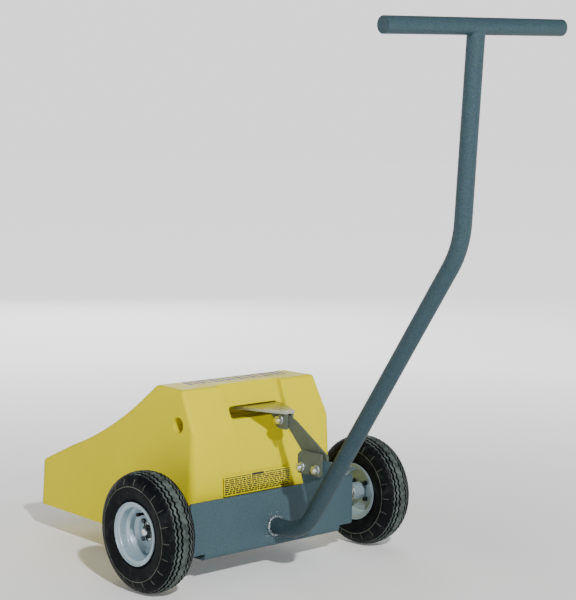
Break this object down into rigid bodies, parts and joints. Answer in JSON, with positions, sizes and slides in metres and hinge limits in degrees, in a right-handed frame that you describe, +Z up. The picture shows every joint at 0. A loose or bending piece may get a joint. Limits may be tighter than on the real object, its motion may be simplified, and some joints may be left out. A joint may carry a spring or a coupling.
{
  "type": "wheel chock dolly",
  "caption": "Moulded wedge wheel chock carried on a two-wheeled steel dolly with a bent tube handle, a cross grip and a pivoting latch hook.",
  "frame": {"origin": "floor level under the middle of the outline, on the centre line of the dolly", "axes": "+X right, +Y towards the chock's low nose, +Z up; the wheels' axle runs along X"},
  "size_m": [0.728, 1.2325, 1.2033],
  "materials": {
    "chock_yellow": "semi-gloss moulded plastic",
    "label_film": "printed film",
    "carrier_paint": "hammered grey powder coat",
    "zinc_steel": "bright zinc plate",
    "rim_steel": "silver lacquered pressed steel",
    "tyre_rubber": "black rubber, dusty",
    "tube_rubber": "black rubber",
    "black_plastic": "moulded"
  },
  "bodies": {
    "cart": {"carrier_plate": "carrier_paint", "tube_lug": "carrier_paint", "handle_tube": "carrier_paint", "cross_grip": "carrier_paint", "axle_bracket_left": "carrier_paint", "axle_bracket_right": "carrier_paint", "spindle_left": "zinc_steel", "spindle_right": "zinc_steel", "axle_spacer_left": "zinc_steel", "axle_spacer_right": "zinc_steel", "axle_washer_left": "zinc_steel", "axle_washer_right": "zinc_steel", "cotter_pin_left": "zinc_steel", "cotter_pin_right": "zinc_steel", "grip_cap_left": "carrier_paint", "grip_cap_right": "carrier_paint"},
    "wheel_left": {"tyre_left": "tyre_rubber", "inner_tube_left": "tube_rubber", "rim_outer_left": "rim_steel", "rim_inner_left": "rim_steel", "hub_left": "rim_steel", "bearing_outer_left": "zinc_steel", "bearing_inner_left": "zinc_steel", "rim_bolts_left": "zinc_steel", "rim_nuts_left": "zinc_steel", "valve_stem_left": "tube_rubber", "valve_cap_left": "black_plastic"},
    "wheel_right": {"tyre_right": "tyre_rubber", "inner_tube_right": "tube_rubber", "rim_outer_right": "rim_steel", "rim_inner_right": "rim_steel", "hub_right": "rim_steel", "bearing_outer_right": "zinc_steel", "bearing_inner_right": "zinc_steel", "rim_bolts_right": "zinc_steel", "rim_nuts_right": "zinc_steel", "valve_stem_right": "tube_rubber", "valve_cap_right": "black_plastic"},
    "link": {"link_arm": "carrier_paint", "link_cheek": "carrier_paint", "link_spacer": "zinc_steel", "link_washers": "zinc_steel", "pivot_bolt": "zinc_steel", "pivot_nut": "zinc_steel", "tie_bolt": "zinc_steel", "tie_nut": "zinc_steel"},
    "hook": {"hook_plate": "carrier_paint", "hook_lug_left": "carrier_paint", "hook_lug_right": "carrier_paint", "hook_bolt": "zinc_steel", "hook_nut": "zinc_steel", "hook_washers": "zinc_steel"},
    "chock": {"wedge_body": "chock_yellow", "rating_label": "label_film"}
  },
  "joints": [
    {"name": "wheel_left_spin", "type": "hinge", "parent": "cart", "child": "wheel_left", "pos_m": [-0.324, 0.01326, 0.13], "axis": [1, 0, 0], "continuous": true},
    {"name": "wheel_right_spin", "type": "hinge", "parent": "cart", "child": "wheel_right", "pos_m": [0.324, 0.01326, 0.13], "axis": [1, 0, 0], "continuous": true},
    {"name": "link_pivot", "type": "hinge", "parent": "cart", "child": "link", "pos_m": [0, -0.17274, 0.251], "axis": [1, 0, 0], "range_deg": [0, 45]},
    {"name": "hook_pivot", "type": "hinge", "parent": "link", "child": "hook", "pos_m": [0.008, -0.04674, 0.342], "axis": [1, 0, 0], "range_deg": [-103, 0]},
    {"name": "chock_slide", "type": "slide", "parent": "cart", "child": "chock", "axis": [0, 1, 0], "range_m": [0, 0.25]}
  ],
  "couplings": [
    {"joint": "hook_pivot", "follows": "link_pivot", "ratio": -2.27}
  ]
}
